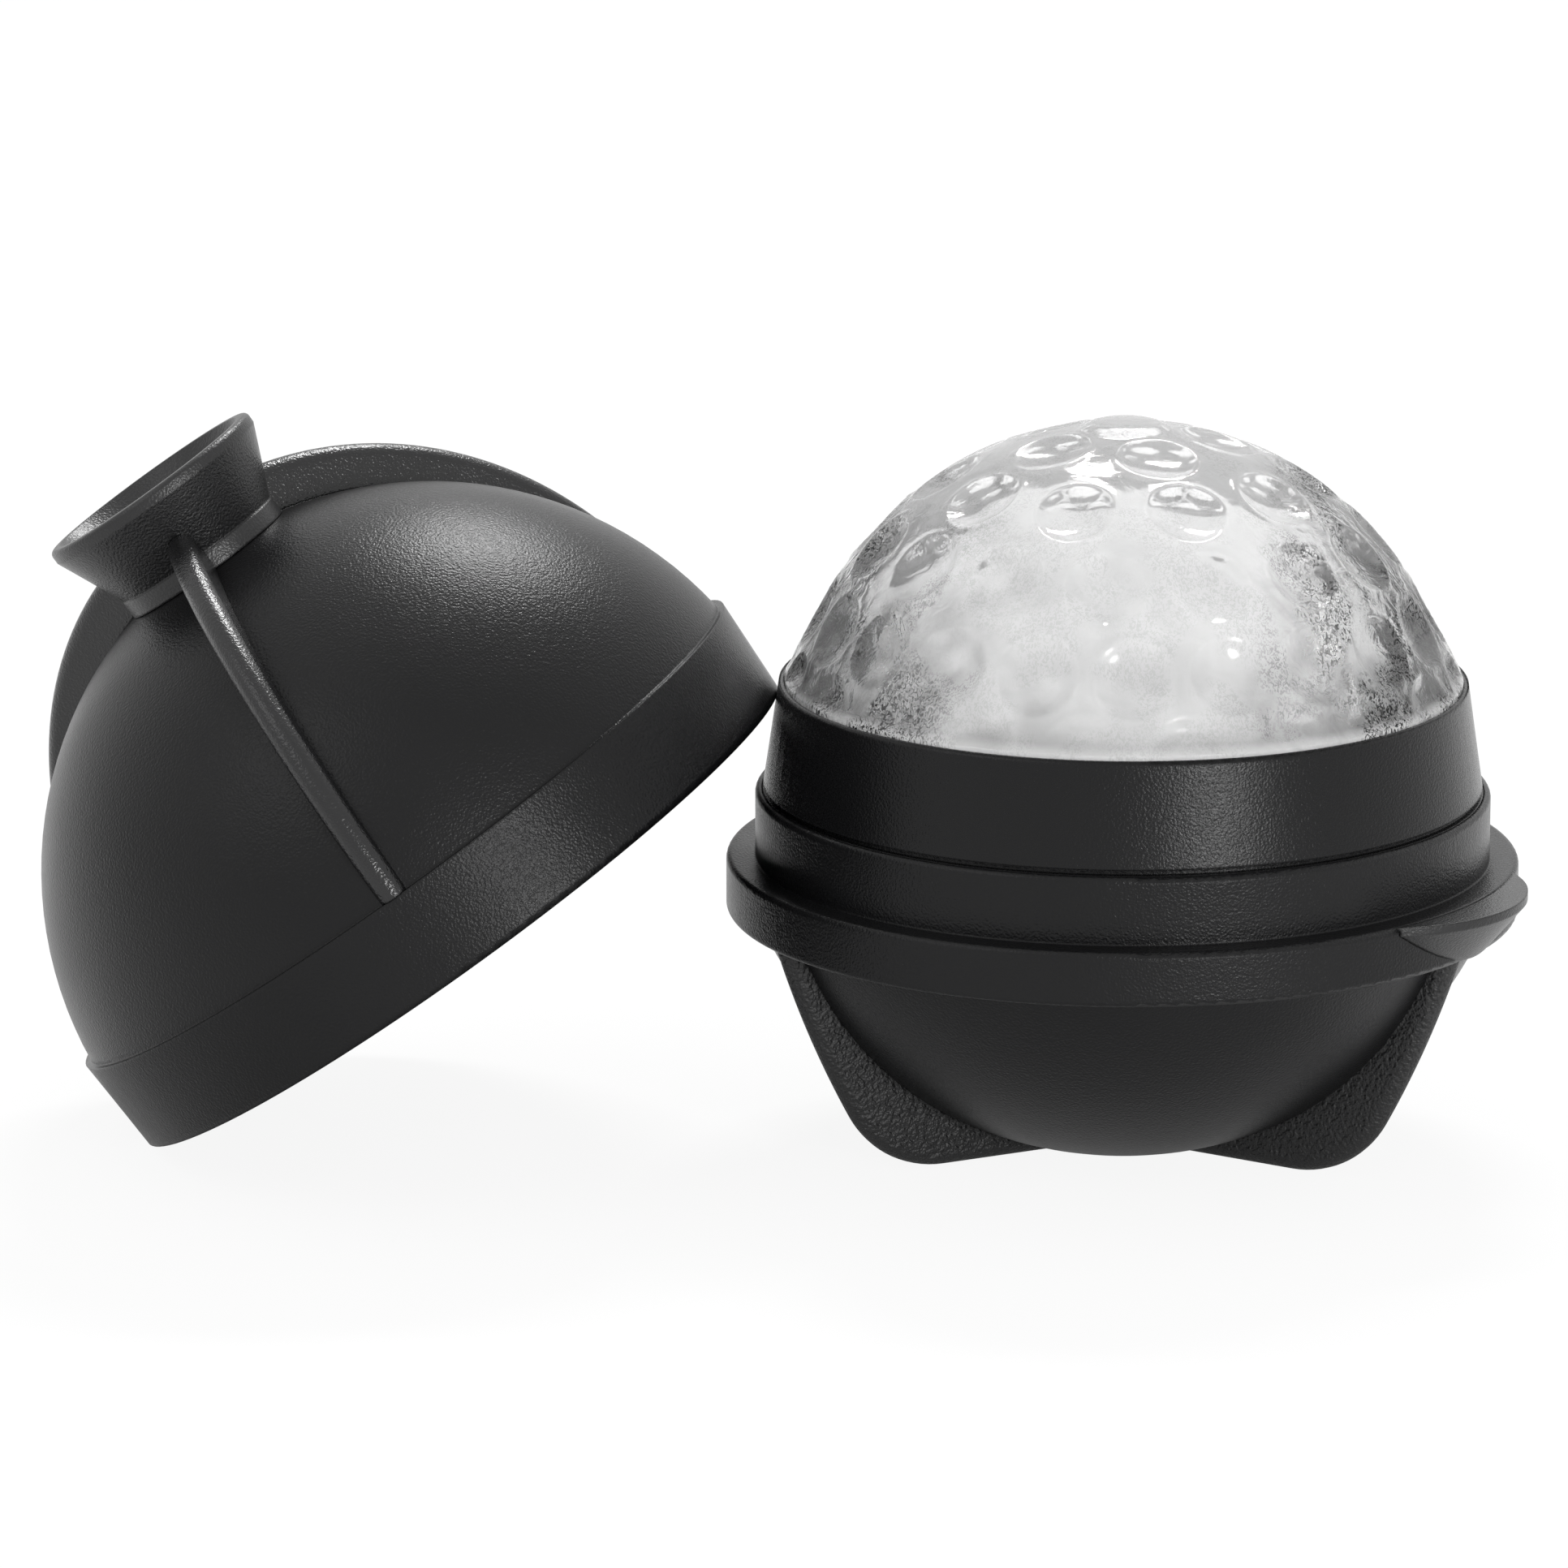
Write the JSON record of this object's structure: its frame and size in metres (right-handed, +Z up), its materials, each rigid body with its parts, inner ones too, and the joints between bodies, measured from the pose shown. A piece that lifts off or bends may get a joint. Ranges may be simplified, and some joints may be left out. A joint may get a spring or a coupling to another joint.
{
  "type": "ice ball mould",
  "caption": "Round two-part mould on fin feet for a dimpled ice ball, with a soft-lined base and a ribbed, funnelled domed cap that has been taken off and leans on the base.",
  "frame": {"origin": "on the floor, on the axis of the base, at the middle of the flat under the bowl", "axes": "+Z up along the base's axis, +X away from the leaning cap, -Y to the front"},
  "size_m": [0.1385, 0.0776, 0.0692],
  "materials": {
    "shell_plastic": "black polypropylene with a fine moulded grain",
    "liner_silicone": "matte black silicone",
    "ice": "clear ice, veiled by fine bubbles",
    "milky_ice": "ice that is white with fine bubbles"
  },
  "bodies": {
    "base": {"base_shell": "shell_plastic", "foot_back": "shell_plastic", "foot_front_left": "shell_plastic", "foot_front_right": "shell_plastic", "pull_tab": "shell_plastic", "base_liner": "liner_silicone"},
    "ice": {"ice_ball": "ice", "ice_core": "milky_ice"},
    "cap": {"cap_shell": "shell_plastic", "rib_front": "shell_plastic", "rib_right": "shell_plastic", "rib_left": "shell_plastic", "fill_funnel": "shell_plastic", "cap_liner": "liner_silicone"}
  },
  "joints": [
    {"name": "ice_lift", "type": "slide", "parent": "base", "child": "ice", "axis": [0, 0, 1], "range_m": [0, 0.06]},
    {"name": "cap_lift", "type": "slide", "parent": "base", "child": "cap", "axis": [0, 0, 1], "range_m": [0, 0.08]}
  ]
}
